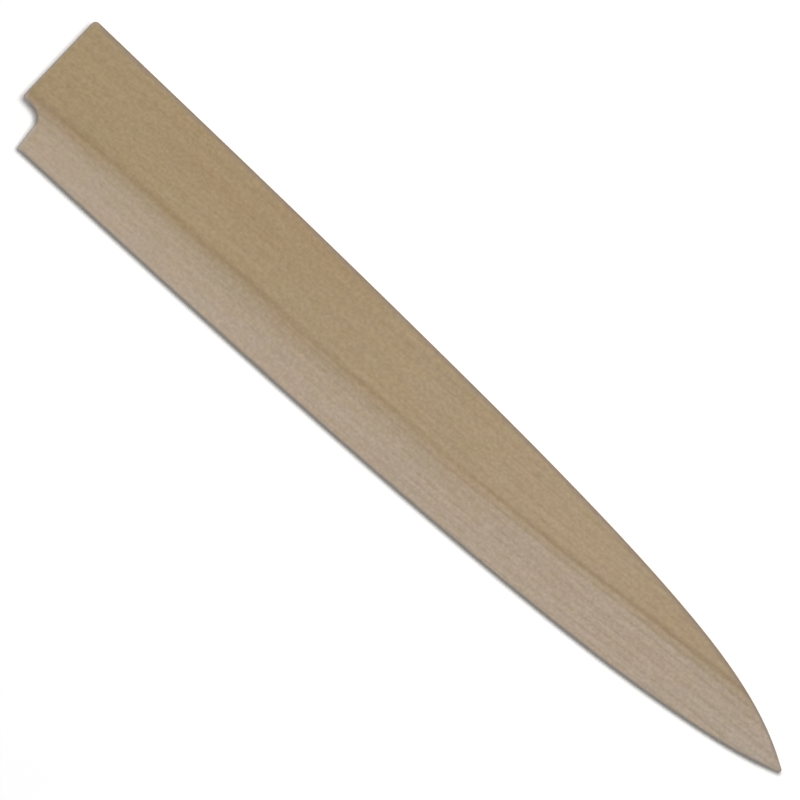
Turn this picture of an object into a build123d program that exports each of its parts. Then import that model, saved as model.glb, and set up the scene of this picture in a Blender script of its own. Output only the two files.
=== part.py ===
from build123d import *
import math
import os

# Wooden sheath for a long, single-bevel slicing knife: a carved front board and a thin back
# board, glued rim to rim around a pocket that follows the shape of the blade.
#
# Lengths are in millimetres. +X runs from the mouth to the tip, +Y is the spine side, -Y is
# the cutting-edge side, and +Z comes out of the front face, which carries the ridge. The flat
# back face lies on z = 0, and the origin is midway along the length and the width.

# Outside of the sheath
sheath_length = 300.0
sheath_width = 43.6
mouth_thickness = 13.0
tip_thickness = 11.6
edge_thickness = 8.2
edge_thickness_at_tip = 7.4

# How far the ridge is rubbed down on each side of it, at the mouth and at the tip
ridge_softening = 2.0
ridge_softening_at_tip = 0.9

# Notch in the cutting-edge side of the mouth, where the heel of the blade goes in. Its upper
# edge starts just below the ridge and falls a little towards a round, and its wall leans.
notch_depth = 9.0
notch_below_ridge = 0.9
notch_fall = 0.9
notch_lean = 1.0
notch_round = 4.1

# Eased corners of the sawn outline. The rims of the two outer faces are eased a little less
# than its small corners, by the same sanding.
spine_corner_round = 1.6
small_corner_round = 0.7
rim_round_share = 0.77

# Boards and the film of glue between their rims
back_board_thickness = 4.5
glue_thickness = 0.15
glued_rim_width = 4.6

# Blade that the pocket is cut for, and the room that it has
blade_thickness = 4.2
blade_thickness_at_tip = 3.4
blade_clearance = 0.5
back_relief = 0.45
edge_slot_height = 1.2
pocket_ridge_softening = 0.8
mouth_lead_in = 0.6

# Cuts run past the faces that they cut through by this much
overrun = 12.0
# Two places closer than this are taken as one
match_tolerance = 0.01

# Shape of the sheath along its length. Each row has the place along the length, as a share of
# it, and then three shares of the width: how far the spine has dropped, how far the cutting
# edge has risen, and how far the ridge lies below the spine line at the mouth.
outline_shares = [
    (0.00, 0.000, 0.000, 0.689),
    (0.25, 0.008, 0.031, 0.612),
    (0.50, 0.032, 0.083, 0.537),
    (0.70, 0.079, 0.160, 0.436),
    (0.82, 0.145, 0.239, 0.353),
    (0.91, 0.249, 0.333, 0.294),
    (0.97, 0.390, 0.427, 0.259),
    (1.00, 0.500, 0.500, 0.243),
]

# How far a planed bevel goes on past its foot, as a share of the way down to the bar's floor
bevel_run_share = 0.5

mouth_x = -sheath_length / 2
spine_y = sheath_width / 2
edge_y = -sheath_width / 2
seam_z = back_board_thickness
pocket_floor_z = seam_z - back_relief
pocket_spine_y = spine_y - glued_rim_width
notch_top_y = spine_y - outline_shares[0][3] * sheath_width - notch_below_ridge


def along(share):
    """Place along the sheath."""
    return mouth_x + share * sheath_length


def between(start, end, share):
    """Value that changes evenly from the mouth to the tip."""
    return start + share * (end - start)


def run_on(end_row, next_row):
    """Row of shares past an end of the table, on the line through its last two rows."""
    run = overrun / sheath_length / abs(end_row[0] - next_row[0])
    return tuple(end + run * (end - beside) for end, beside in zip(end_row, next_row))


def stations():
    """Rows of the table, with one more past the mouth and one past the tip."""
    before = run_on(outline_shares[0], outline_shares[1])
    after = run_on(outline_shares[-1], outline_shares[-2])
    return [before, *outline_shares, after]


def planed_section(share, ridge, foot, floor_z, softening):
    """Cross-section of a planed bar: a flat top, a soft ridge and a bevel that goes on
    past its foot. The ridge and the foot are (y, z) places."""
    ridge_y, top_z = ridge
    foot_y, foot_z = foot
    fall = (top_z - foot_z) / (ridge_y - foot_y)
    slant = math.hypot(1.0, fall)
    near_y = foot_y - bevel_run_share * (foot_z - floor_z) / fall
    far_y = spine_y + overrun

    def place(y, z):
        return Vector(along(share), y, z)

    top_start = place(ridge_y + softening, top_z)
    bevel_start = place(ridge_y - softening / slant, top_z - softening * fall / slant)
    bevel_end = place(near_y, top_z - fall * (ridge_y - near_y))
    corners = [bevel_end, place(near_y, floor_z), place(far_y, floor_z), place(far_y, top_z), top_start]
    edges = [Line(a, b) for a, b in zip(corners, corners[1:])]
    edges.append(Bezier(top_start, place(ridge_y, top_z), bevel_start))
    edges.append(Line(bevel_start, bevel_end))
    return make_face(edges)


def strip_outline(mouth_run):
    """Outline of the sheath without its notch, with its mouth end moved out by mouth_run."""
    spine = [Vector(along(row[0]), spine_y - row[1] * sheath_width) for row in outline_shares]
    edge = [Vector(along(row[0]), edge_y + row[2] * sheath_width) for row in outline_shares]
    spine_line = Spline(*spine)
    edge_line = Spline(*edge)
    lines = [spine_line, edge_line]
    outer = Vector(mouth_x - mouth_run, spine_y)
    inner = Vector(mouth_x - mouth_run, edge_y)
    if mouth_run > 0:
        lines += [Line(spine[0], outer), Line(edge[0], inner)]
    lines.append(Line(outer, inner))
    return make_face(lines)


def notch_outline():
    """Outline of the notch: a gently falling upper edge, a round and a leaning wall."""
    corner = Vector(mouth_x + notch_depth - notch_lean, notch_top_y - notch_fall)
    top_run = (Vector(mouth_x, notch_top_y) - corner).normalized() * overrun
    wall_run = (Vector(mouth_x + notch_depth, edge_y) - corner).normalized() * overrun
    top_end = Vector(mouth_x, notch_top_y) + top_run
    wall_end = Vector(mouth_x + notch_depth, edge_y) + wall_run
    path = FilletPolyline(top_end, corner, wall_end, radius=notch_round)
    outside = Vector(top_end.X, wall_end.Y)
    return make_face([*path.edges(), Line(wall_end, outside), Line(outside, top_end)])


def sawn_outline():
    """Outline of the sheath with its notch and its eased corners."""
    outline = strip_outline(0) - notch_outline()
    corners = outline.vertices()
    spine_corner = corners.sort_by_distance((mouth_x, spine_y))[0]
    outline = fillet(spine_corner, spine_corner_round)
    places = [
        (mouth_x, notch_top_y),
        (mouth_x + notch_depth, edge_y),
        (mouth_x + sheath_length, spine_y - outline_shares[-1][1] * sheath_width),
    ]
    small = [outline.vertices().sort_by_distance(place)[0] for place in places]
    return fillet(small, small_corner_round)


def outer_bar():
    """Bar that is planed to the outer thickness, ridge and bevel, before it is sawn."""
    sections = []
    for share, _, rise, ridge_drop in stations():
        ridge = (spine_y - ridge_drop * sheath_width, between(mouth_thickness, tip_thickness, share))
        foot = (edge_y + rise * sheath_width, between(edge_thickness, edge_thickness_at_tip, share))
        softening = between(ridge_softening, ridge_softening_at_tip, share)
        sections.append(planed_section(share, ridge, foot, -overrun, softening))
    return loft(sections)


def pocket_section(row, growth):
    """Cross-section of the pocket, with its floor and its ceiling moved out by growth."""
    share, _, rise, ridge_drop = row
    room = between(blade_thickness, blade_thickness_at_tip, share) + 2 * blade_clearance
    ridge = (spine_y - ridge_drop * sheath_width, pocket_floor_z + room + growth)
    foot_y = edge_y + rise * sheath_width + glued_rim_width
    foot = (foot_y, pocket_floor_z + edge_slot_height + growth)
    return planed_section(share, ridge, foot, pocket_floor_z - growth, pocket_ridge_softening)


def pocket_bar():
    """Bar with the thickness, ridge and bevel of the pocket."""
    return loft([pocket_section(row, 0) for row in stations()])


def sheath_body():
    """Outer form of both boards together, with eased rims."""
    outline = sawn_outline()
    blank = extrude(outline, mouth_thickness + overrun)
    body = blank & outer_bar()
    wire = outline.face().outer_wire()
    rims = [edge for edge in body.edges() if is_on_rim(edge, wire)]
    return fillet(rims, rim_round_share * small_corner_round)


def is_on_rim(edge, wire):
    """Whether an edge runs along the outline, on the front or on the back face."""
    middle = edge.position_at(0.5)
    ends = edge.position_at(1) - edge.position_at(0)
    upright = math.hypot(ends.X, ends.Y) < match_tolerance
    dropped = Vertex(middle.X, middle.Y, 0)
    return not upright and wire.distance_to(dropped) < match_tolerance


def blade_pocket():
    """Space that the blade slides into, open at the mouth and through the notch. Its outline
    is what two copies of the sheath's share, one moved in from the spine side and one from
    the cutting-edge side."""
    strip = strip_outline(overrun)
    inside = (Pos(0, -glued_rim_width) * strip) & (Pos(0, glued_rim_width) * strip)
    return extrude(inside, mouth_thickness) & pocket_bar()


def mouth_flare():
    """Lead-in at the mouth: the pocket widens evenly over its last stretch, towards both
    faces and towards the spine."""
    growth = mouth_lead_in + overrun
    outer_x = mouth_x - overrun
    inner_row = (mouth_lead_in / sheath_length, *outline_shares[0][1:])
    outer_row = (-overrun / sheath_length, *outline_shares[0][1:])
    bar = loft([pocket_section(outer_row, growth), pocket_section(inner_row, 0)], ruled=True)
    plan = Polyline(
        (mouth_x + mouth_lead_in, pocket_spine_y),
        (outer_x, pocket_spine_y + growth),
        (outer_x, edge_y),
        (mouth_x + mouth_lead_in, edge_y),
        close=True,
    )
    return bar & extrude(make_face(plan), mouth_thickness + overrun, both=True)


def slab(low_z, high_z):
    """Block that keeps what lies between two heights."""
    return Pos(0, 0, low_z) * Box(
        sheath_length + 2 * overrun,
        sheath_width + 2 * overrun,
        high_z - low_z,
        align=(Align.CENTER, Align.CENTER, Align.MIN),
    )


def main():
    body = sheath_body()
    hollow = [blade_pocket(), mouth_flare()]
    seam_top = seam_z + glue_thickness
    heights = {
        "back_board": (-overrun, seam_z),
        "glue_line": (seam_z, seam_top),
        "front_board": (seam_top, mouth_thickness + overrun),
    }
    middle = body.bounding_box().center()
    os.makedirs("parts", exist_ok=True)
    for name, (low_z, high_z) in heights.items():
        piece = (body & slab(low_z, high_z)) - hollow
        centred = Pos(-middle.X, -middle.Y, 0) * piece
        export_step(centred, f"parts/{name}.step")
        size = centred.bounding_box().size
        print(name, round(piece.volume), "mm3", [round(v, 2) for v in (size.X, size.Y, size.Z)])


main()
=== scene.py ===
import logging
import math
from dataclasses import dataclass, field
from enum import Enum
from functools import cached_property
from typing import Callable, Sequence, Union

import bpy
import numpy as np
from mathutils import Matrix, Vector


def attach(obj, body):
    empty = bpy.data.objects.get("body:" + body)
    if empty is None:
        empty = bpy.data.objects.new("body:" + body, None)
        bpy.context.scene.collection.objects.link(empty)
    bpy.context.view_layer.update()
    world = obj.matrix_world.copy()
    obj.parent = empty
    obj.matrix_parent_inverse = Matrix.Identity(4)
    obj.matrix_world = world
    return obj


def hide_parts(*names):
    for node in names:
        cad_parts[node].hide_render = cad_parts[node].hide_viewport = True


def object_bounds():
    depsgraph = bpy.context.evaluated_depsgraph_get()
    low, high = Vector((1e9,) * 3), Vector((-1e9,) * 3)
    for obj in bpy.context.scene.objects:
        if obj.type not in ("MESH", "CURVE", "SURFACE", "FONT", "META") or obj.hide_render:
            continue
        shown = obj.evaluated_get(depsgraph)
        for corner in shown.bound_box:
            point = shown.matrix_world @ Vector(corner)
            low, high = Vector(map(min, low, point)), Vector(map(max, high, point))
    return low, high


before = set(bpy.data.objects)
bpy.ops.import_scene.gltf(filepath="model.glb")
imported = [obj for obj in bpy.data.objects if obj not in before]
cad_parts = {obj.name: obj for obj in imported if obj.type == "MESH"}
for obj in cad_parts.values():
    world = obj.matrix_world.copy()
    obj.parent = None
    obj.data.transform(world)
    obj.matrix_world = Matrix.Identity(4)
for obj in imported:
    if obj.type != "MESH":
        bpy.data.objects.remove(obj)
cad_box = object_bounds()

# Wooden sheath for a long slicing knife: a carved front board and a thin back board, glued rim to
# rim around a pocket for the blade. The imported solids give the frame. Each is replaced by a finer
# skin, worked out from the same sizes. Sizes in the classes are in millimetres, as in the part's
# source, and the meshes are in metres. +X runs to the tip, +Y is the spine side and +Z the front.

MM = 0.001  # Metres in a millimetre
WELD_GRID = 1e-4  # Millimetres within which points become one
CREASE = 38.0  # Degrees from which an edge is sharp
ORIGIN = (0.0, 0.0, 0.0)

log = logging.getLogger("knife sheath")
Array = np.ndarray
Places = Union[float, Array]
HeightRule = Callable[["SheathForm", Array, Array], Array]
Triple = tuple[float, float, float]
Pair = tuple[float, float]
Colour = Triple
Ramp = tuple[float, ...]
Band = tuple[float, float, float, float]
Feed = Union[float, Triple, "Value"]
Feeds = dict[Union[int, str], Feed]


def seen_colour(red: int, green: int, blue: int) -> Colour:
    """Linear colour of a surface that looks like these screen values in plain light.

    Args:
        red, green, blue: Screen values from 0 to 255.

    Returns:
        The three linear shares of light.
    """
    shares = np.array([red, green, blue]) / 255
    curved = ((shares + 0.055) / 1.055) ** 2.4
    return tuple(float(v) for v in np.where(shares <= 0.04045, shares / 12.92, curved))


# ----------------------------------------
# Lines in the plan
# ----------------------------------------


def first_slope(knots: Array, values: Array) -> float:
    """Slope at the first of four knots of the cubic that passes through them.

    It is the first step's rise, corrected by the second and the third divided differences.

    Args:
        knots: The four places.
        values: The four values.

    Returns:
        The slope.
    """
    steps = np.diff(values) / np.diff(knots)
    bends = np.diff(steps) / (knots[2:] - knots[:-2])
    twist = (bends[1] - bends[0]) / (knots[3] - knots[0])
    back = knots[0] - knots[1:3]
    return float(steps[0] + bends[0] * back[0] + twist * back[0] * back[1])


def smooth_curve(knots: Array, values: Array, at: Places) -> Places:
    """Values of a smooth curve that passes through every knot.

    Each stretch is a cubic set by the values and the slopes at its two knots. The bend is the
    same on both sides of a knot, which gives one linear equation for each inner slope. An end's
    slope is that of the cubic through its four nearest knots.

    Args:
        knots: Increasing places.
        values: Value at each knot.
        at: Places to give the value for.

    Returns:
        The curve's value at each place.
    """
    gaps = np.diff(knots)
    rises = np.diff(values) / gaps
    inner = np.arange(1, len(knots) - 1)
    system = np.eye(len(knots))
    system[inner, inner - 1] = 1 / gaps[:-1]
    system[inner, inner] = 2 / gaps[:-1] + 2 / gaps[1:]
    system[inner, inner + 1] = 1 / gaps[1:]
    known = np.zeros(len(knots))
    known[inner] = 3 * (rises[:-1] / gaps[:-1] + rises[1:] / gaps[1:])
    known[0] = first_slope(knots[:4], values[:4])
    known[-1] = first_slope(knots[::-1][:4], values[::-1][:4])
    slopes = np.linalg.solve(system, known)
    left = np.clip(np.searchsorted(knots, at, side="right") - 1, 0, len(knots) - 2)
    gap = gaps[left]
    share = (at - knots[left]) / gap
    rest = 1 - share
    values_part = (values[left] * rest**2 * (1 + 2 * share)
                   + values[left + 1] * share**2 * (3 - 2 * share))
    slopes_part = slopes[left] * rest**2 * share - slopes[left + 1] * share**2 * rest
    return values_part + gap * slopes_part


def eased_path(corners: Sequence[Array], rounds: Sequence[float], steps: int = 40) -> Array:
    """Broken line whose inner corners are arcs.

    An arc leaves the first side and joins the second one at its radius times the tangent of half
    the turn from the corner, and its centre is one radius to the side that the line turns to.

    Args:
        corners: Places along the line.
        rounds: Radius at each inner corner.
        steps: Points on each arc.

    Returns:
        Points along the line, shape (points, 2).
    """
    places = [corners[0][None]]
    for before, corner, after, radius in zip(corners, corners[1:], corners[2:], rounds):
        heading = (corner - before) / np.linalg.norm(corner - before)
        leaving = (after - corner) / np.linalg.norm(after - corner)
        left = np.array([-heading[1], heading[0]])
        turn = math.atan2(leaving @ left, leaving @ heading)
        spoke = left * math.copysign(radius, turn)
        centre = corner - heading * radius * math.tan(abs(turn) / 2) + spoke
        angle = np.linspace(0, turn, steps)[:, None]
        turned_spoke = np.array([-spoke[1], spoke[0]])
        places.append(centre - spoke * np.cos(angle) - turned_spoke * np.sin(angle))
    places.append(corners[-1][None])
    return np.concatenate(places)


def path_measure(path: Array, turn_worth: float) -> Array:
    """Measure along a path that grows with its length and with its turning.

    Points at even steps of it lie closer together on tight arcs than on straight runs.

    Args:
        path: Points along the path.
        turn_worth: Millimetres that one radian of turning counts for.

    Returns:
        The measure at each point.
    """
    runs = np.diff(path, axis=0)
    length = np.concatenate([[0], np.cumsum(np.hypot(runs[:, 0], runs[:, 1]))])
    heading = np.unwrap(np.arctan2(runs[:, 1], runs[:, 0]))
    turning = np.zeros(len(path))
    turning[1:-1] = np.abs(np.diff(heading))
    return length + turn_worth * (np.cumsum(turning) - turning / 2)


def inward_shift(loop: Array, distance: float) -> Array:
    """A closed loop moved inwards by a distance.

    The direction of the loop at a point weighs the runs before and after it, the shorter run
    counting more, which is right for an arc. Inwards is a quarter turn to its left.

    Args:
        loop: Points anticlockwise round the shape.
        distance: How far the points move.

    Returns:
        The moved points.
    """
    before, after = loop - np.roll(loop, 1, axis=0), np.roll(loop, -1, axis=0) - loop
    before_run, after_run = (np.linalg.norm(run, axis=1, keepdims=True) for run in (before, after))
    heading = before * after_run / before_run + after * before_run / after_run
    heading /= np.linalg.norm(heading, axis=1, keepdims=True)
    return loop + distance * np.stack([-heading[:, 1], heading[:, 0]], axis=1)


def toward_end(count: int, crowding: float) -> Array:
    """Shares from 0 to 1. What is still to go is raised to the crowding, which closes them up."""
    return 1 - (1 - np.linspace(0, 1, count)) ** crowding


def filled_plan(near: Array, far: Array, ends: Sequence[Array], reach: float) -> Array:
    """Plan of a face between two side lines.

    Every column divides the straight line between the sides evenly. An end line may bulge away
    from its column: the columns behind it follow that bulge less and less, by the square of the
    share of the reach that is left.

    Args:
        near, far: The side lines, point by point, shape (columns, 2).
        ends: Line that the first column becomes and, where given, line for the last one.
        reach: How far along the face a bulge is felt.

    Returns:
        Points of the plan, shape (columns, rows, 2).
    """
    shares = np.linspace(0, 1, len(ends[0]))[None, :, None]
    plan = near[:, None] * (1 - shares) + far[:, None] * shares
    middle = (near + far) / 2
    runs = np.linalg.norm(np.diff(middle, axis=0), axis=1)
    travel = np.concatenate([[0], np.cumsum(runs)])
    for end, column, way in zip(ends, (0, -1), (travel, travel[-1] - travel)):
        bulge = end - plan[column]
        plan = plan + np.clip(1 - way / reach, 0, 1)[:, None, None] ** 2 * bulge
    for end, column in zip(ends, (0, -1)):
        plan[column] = end
    plan[:, 0], plan[:, -1] = near, far
    return plan


# ----------------------------------------
# The sheath's form
# ----------------------------------------


@dataclass(frozen=True)
class SheathForm:
    """Sizes of the sheath, and the lines and heights that follow from them."""

    mouth_x: float
    spine_y: float
    length: float = 300.0
    width: float = 43.6
    mouth_thickness: float = 13.0
    tip_thickness: float = 11.6
    edge_thickness: float = 8.2
    edge_thickness_at_tip: float = 7.4
    ridge_softening: float = 2.0
    ridge_softening_at_tip: float = 0.9
    notch_depth: float = 9.0
    notch_below_ridge: float = 0.9
    notch_fall: float = 0.9
    notch_lean: float = 1.0
    notch_round: float = 4.1
    spine_corner_round: float = 1.6
    small_corner_round: float = 0.7
    rim_round: float = 0.539
    back_board_thickness: float = 4.5
    glue_thickness: float = 0.15
    glued_rim_width: float = 4.6
    blade_thickness: float = 4.2
    blade_thickness_at_tip: float = 3.4
    blade_clearance: float = 0.5
    back_relief: float = 0.45
    edge_slot_height: float = 1.2
    pocket_ridge_softening: float = 0.8
    mouth_lead_in: float = 0.6
    # Share of the length, then shares of the width: drop of the spine, rise of the cutting edge
    # and drop of the ridge below the spine line at the mouth
    outline_shares: tuple[tuple[float, float, float, float], ...] = (
        (0.00, 0.000, 0.000, 0.689),
        (0.25, 0.008, 0.031, 0.612),
        (0.50, 0.032, 0.083, 0.537),
        (0.70, 0.079, 0.160, 0.436),
        (0.82, 0.145, 0.239, 0.353),
        (0.91, 0.249, 0.333, 0.294),
        (0.97, 0.390, 0.427, 0.259),
        (1.00, 0.500, 0.500, 0.243),
    )

    @property
    def edge_y(self) -> float:
        """Cutting-edge side at the mouth, before its notch."""
        return self.spine_y - self.width

    @property
    def tip_x(self) -> float:
        """Where the two sides would meet in a sharp point."""
        return self.mouth_x + self.length

    @property
    def seam_z(self) -> float:
        """Top of the back board's rim."""
        return self.back_board_thickness

    @property
    def glue_top_z(self) -> float:
        """Top of the glue, and the front board's rim."""
        return self.seam_z + self.glue_thickness

    @property
    def pocket_floor_z(self) -> float:
        """Face of the back board inside the pocket."""
        return self.seam_z - self.back_relief

    @property
    def notch_top_y(self) -> float:
        """Upper edge of the notch, at the mouth."""
        return self.ridge_y_at(self.mouth_x) - self.notch_below_ridge

    def share(self, x: Places) -> Places:
        """Share of the length at a place along the sheath."""
        return (x - self.mouth_x) / self.length

    def _column(self, index: int, x: Places) -> Places:
        """Smooth value of one column of the table, times the width."""
        table = np.array(self.outline_shares)
        return self.width * smooth_curve(table[:, 0], table[:, index], self.share(x))

    def spine_y_at(self, x: Places) -> Places:
        """Spine side of the outline."""
        return self.spine_y - self._column(1, x)

    def edge_y_at(self, x: Places) -> Places:
        """Cutting-edge side of the outline."""
        return self.edge_y + self._column(2, x)

    def ridge_y_at(self, x: Places) -> Places:
        """Ridge of the front, between its flat and its bevel."""
        return self.spine_y - self._column(3, x)

    def between(self, mouth: float, tip: float, x: Array) -> Array:
        """Value that changes evenly from the mouth to the tip."""
        return mouth + (tip - mouth) * self.share(x)

    def planed_height(self, x: Array, y: Array, crest_z: Array, foot: Sequence[Array],
                      softening: Array) -> Array:
        """Height of a flat that turns into a bevel at the ridge.

        The bevel falls in a straight line from the crest to its foot. At the ridge the two are
        joined by a parabola that leaves the flat one softening before the ridge and joins the
        bevel one softening after it, measured along the bevel.

        Args:
            x, y: Places in the plan.
            crest_z: Height of the flat.
            foot: Place across the sheath and height of the bevel's foot.
            softening: Half of the ridge's soft width.

        Returns:
            The height at each place.
        """
        foot_y, foot_z = foot
        ridge_y = self.ridge_y_at(x)
        fall = (crest_z - foot_z) / (ridge_y - foot_y)
        after = softening / np.hypot(1, fall)
        past_ridge = ridge_y - y
        into = np.clip(softening + past_ridge, 0, softening + after)
        root = np.sqrt(softening**2 + (after - softening) * into)
        share = into / (softening + root)
        soft = crest_z - share**2 * after * fall
        return soft - fall * np.maximum(past_ridge - after, 0)

    def front_height(self, x: Array, y: Array) -> Array:
        """Outer face of the front board: the flat, the ridge and the bevel.

        Args:
            x, y: Places in the plan.

        Returns:
            The height at each place.
        """
        crest = self.between(self.mouth_thickness, self.tip_thickness, x)
        foot_z = self.between(self.edge_thickness, self.edge_thickness_at_tip, x)
        softening = self.between(self.ridge_softening, self.ridge_softening_at_tip, x)
        return self.planed_height(x, y, crest, (self.edge_y_at(x), foot_z), softening)

    def lead_in(self, x: Array) -> Array:
        """How far the pocket has widened, which is even over its last stretch to the mouth."""
        return np.clip(self.mouth_x + self.mouth_lead_in - x, 0, self.mouth_lead_in)

    def ceiling_height(self, x: Array, y: Array) -> Array:
        """Pocket's face in the front board, which follows the blade's flat, ridge and bevel.

        Args:
            x, y: Places in the plan.

        Returns:
            The height at each place.
        """
        blade = self.between(self.blade_thickness, self.blade_thickness_at_tip, x)
        crest = self.pocket_floor_z + blade + 2 * self.blade_clearance
        foot_y = self.edge_y_at(x) + self.glued_rim_width
        foot_z = np.full_like(x, self.pocket_floor_z + self.edge_slot_height)
        softening = np.full_like(x, self.pocket_ridge_softening)
        return self.planed_height(x, y, crest, (foot_y, foot_z), softening) + self.lead_in(x)

    def floor_height(self, x: Array, y: Array) -> Array:
        """Pocket's face in the back board, flat like the blade's back."""
        return np.full_like(x, self.pocket_floor_z) - self.lead_in(x)

    def back_height(self, x: Array, y: Array) -> Array:
        """Outer face of the back board, which the sheath lies on."""
        return np.zeros_like(x)


@dataclass(frozen=True)
class SheathPlan:
    """Plans of the sheath's faces, as grids of columns from the mouth to the tip."""

    form: SheathForm
    columns: int = 240
    tip_columns: int = 10
    crowding: float = 1.35
    rim_rows: int = 14
    pocket_rows: int = 92
    turn_worth: float = 3.0
    bulge_reach: float = 75.0
    rim_bulge_reach: float = 23.0
    corner_run: float = 2.6
    tip_search: float = 0.03
    pocket_end_search: float = 0.1
    search_steps: int = 4000

    @property
    def slot(self) -> tuple[int, int]:
        """First and last point of the mouth path where it crosses the pocket."""
        return self.rim_rows, self.rim_rows + self.pocket_rows

    @cached_property
    def slot_number(self) -> Array:
        """Outline's points across the pocket, from the edge side to the spine side."""
        low, high = self.slot
        return len(self.outline) - np.arange(low, high + 1)

    @cached_property
    def rim_number(self) -> Array:
        """Outline's points along the glued rim, from the notch round the tip to the mouth."""
        low, high = self.slot
        total = len(self.outline)
        return np.arange(total - low, 2 * total - high + 1) % total

    def near_tip(self, share: float) -> Array:
        """Closely spaced places along the last share of the length."""
        form = self.form
        return np.linspace(form.tip_x - share * form.length, form.tip_x, self.search_steps + 1)

    @cached_property
    def mouth(self) -> Array:
        """End of the sheath: the notch's wall, round and upper edge, and the square mouth.

        It has rim_rows steps on each glued rim and pocket_rows steps across the pocket. The steps
        are even in the path's measure.

        Returns:
            The path's points, from the cutting-edge side to the spine side.
        """
        form = self.form
        inner = np.array([form.mouth_x + form.notch_depth - form.notch_lean,
                          form.notch_top_y - form.notch_fall])
        wall_x = form.mouth_x + form.notch_depth
        edge_start_x = wall_x + self.corner_run
        spine_start_x = form.mouth_x + form.spine_corner_round + self.corner_run
        wall_foot_y = form.edge_y_at(wall_x)
        lean = (wall_foot_y - form.edge_y) / (inner[1] - form.edge_y)
        corners = [
            np.array([edge_start_x, form.edge_y_at(edge_start_x)]),
            np.array([wall_x - lean * form.notch_lean, wall_foot_y]),
            inner,
            np.array([form.mouth_x, form.notch_top_y]),
            np.array([form.mouth_x, form.spine_y]),
            np.array([spine_start_x, form.spine_y_at(spine_start_x)]),
        ]
        small = form.small_corner_round
        path = eased_path(corners, (small, form.notch_round, small, form.spine_corner_round))
        measure = path_measure(path, self.turn_worth)
        rising = slice(int(path[:, 1].argmin()), int(path[:, 1].argmax()) + 1)
        slot_y = (wall_foot_y + form.glued_rim_width,
                  form.spine_y - form.glued_rim_width + form.mouth_lead_in)
        low, high = np.interp(slot_y, path[rising, 1], measure[rising])
        stops = np.concatenate([
            np.linspace(0, low, self.rim_rows + 1)[:-1],
            np.linspace(low, high, self.pocket_rows + 1),
            np.linspace(high, measure[-1], self.rim_rows + 1)[1:],
        ])
        return np.stack([np.interp(stops, measure, path[:, axis]) for axis in (0, 1)], axis=1)

    @cached_property
    def tip_arc(self) -> tuple[Array, float, float, Array]:
        """Eased tip: an arc that touches both sides. Its centre is where the two sides meet when
        each is moved inwards by the radius.

        Returns:
            The centre, the place along the edge side and along the spine side where the arc
            starts, and the three angles of its ends and its middle.
        """
        form, radius = self.form, self.form.small_corner_round
        x = self.near_tip(self.tip_search)
        moved = []
        for side, inward in ((form.edge_y_at(x), 1), (form.spine_y_at(x), -1)):
            slope = np.gradient(side, x)
            slant = np.hypot(1, slope)
            moved.append((x - inward * radius * slope / slant, side + inward * radius / slant))
        (edge_x, edge_y), (spine_x, spine_y) = moved
        room = np.interp(x, spine_x, spine_y) - np.interp(x, edge_x, edge_y)
        centre_x = float(np.interp(0, room[::-1], x[::-1]))
        centre = np.array([centre_x, float(np.interp(centre_x, edge_x, edge_y))])
        starts = [float(np.interp(centre_x, line, x)) for line in (edge_x, spine_x)]
        feet = [form.edge_y_at(starts[0]), form.spine_y_at(starts[1])]
        low, high = (math.atan2(foot - centre[1], start - centre_x)
                     for start, foot in zip(starts, feet))
        return centre, starts[0], starts[1], np.array([low, high, (low + high) / 2])

    def _side(self, start: Array, end_x: float, line: Array, angles: Pair) -> Array:
        """One side of the outline, from the mouth path to the middle of the tip's arc.

        Args:
            start: First point, which is an end of the mouth path.
            end_x: Where the arc of the tip starts.
            line: Function that gives the side's place across the sheath.
            angles: Where the side joins the arc, and the arc's middle.

        Returns:
            The side's points.
        """
        centre = self.tip_arc[0]
        count = self.columns + 1 - self.tip_columns
        x = start[0] + toward_end(count, self.crowding) * (end_x - start[0])
        straight = np.stack([x, line(x)], axis=1)
        straight[0] = start
        angle = np.linspace(*angles, self.tip_columns + 1)[1:, None]
        arc = centre + self.form.small_corner_round * np.hstack([np.cos(angle), np.sin(angle)])
        return np.concatenate([straight, arc])

    @cached_property
    def edge_side(self) -> Array:
        """Cutting-edge side of the outline."""
        _, start, _, angles = self.tip_arc
        return self._side(self.mouth[0], start, self.form.edge_y_at, (angles[0], angles[2]))

    @cached_property
    def spine_side(self) -> Array:
        """Spine side of the outline."""
        _, _, start, angles = self.tip_arc
        side = self._side(self.mouth[-1], start, self.form.spine_y_at, (angles[1], angles[2]))
        side[-1] = self.edge_side[-1]
        return side

    @cached_property
    def outline(self) -> Array:
        """Outline anticlockwise: the edge side, the spine side back again, and the mouth path."""
        return np.concatenate([self.edge_side[:-1], self.spine_side[::-1][:-1],
                               self.mouth[::-1][:-1]])

    @cached_property
    def inset(self) -> Array:
        """Outline moved inwards to where the rim's round starts."""
        return inward_shift(self.outline, self.form.rim_round)

    @cached_property
    def face(self) -> Array:
        """Plan of an outer face inside its round rim.

        Returns:
            Columns from the mouth to the tip, and rows from the edge side to the spine side.
        """
        last = self.columns
        edge = self.inset[: last + 1]
        spine = self.inset[last: 2 * last + 1][::-1]
        mouth = np.concatenate([self.inset[:1], self.inset[2 * last:][::-1]])
        return filled_plan(edge, spine, [mouth], self.bulge_reach)

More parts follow.
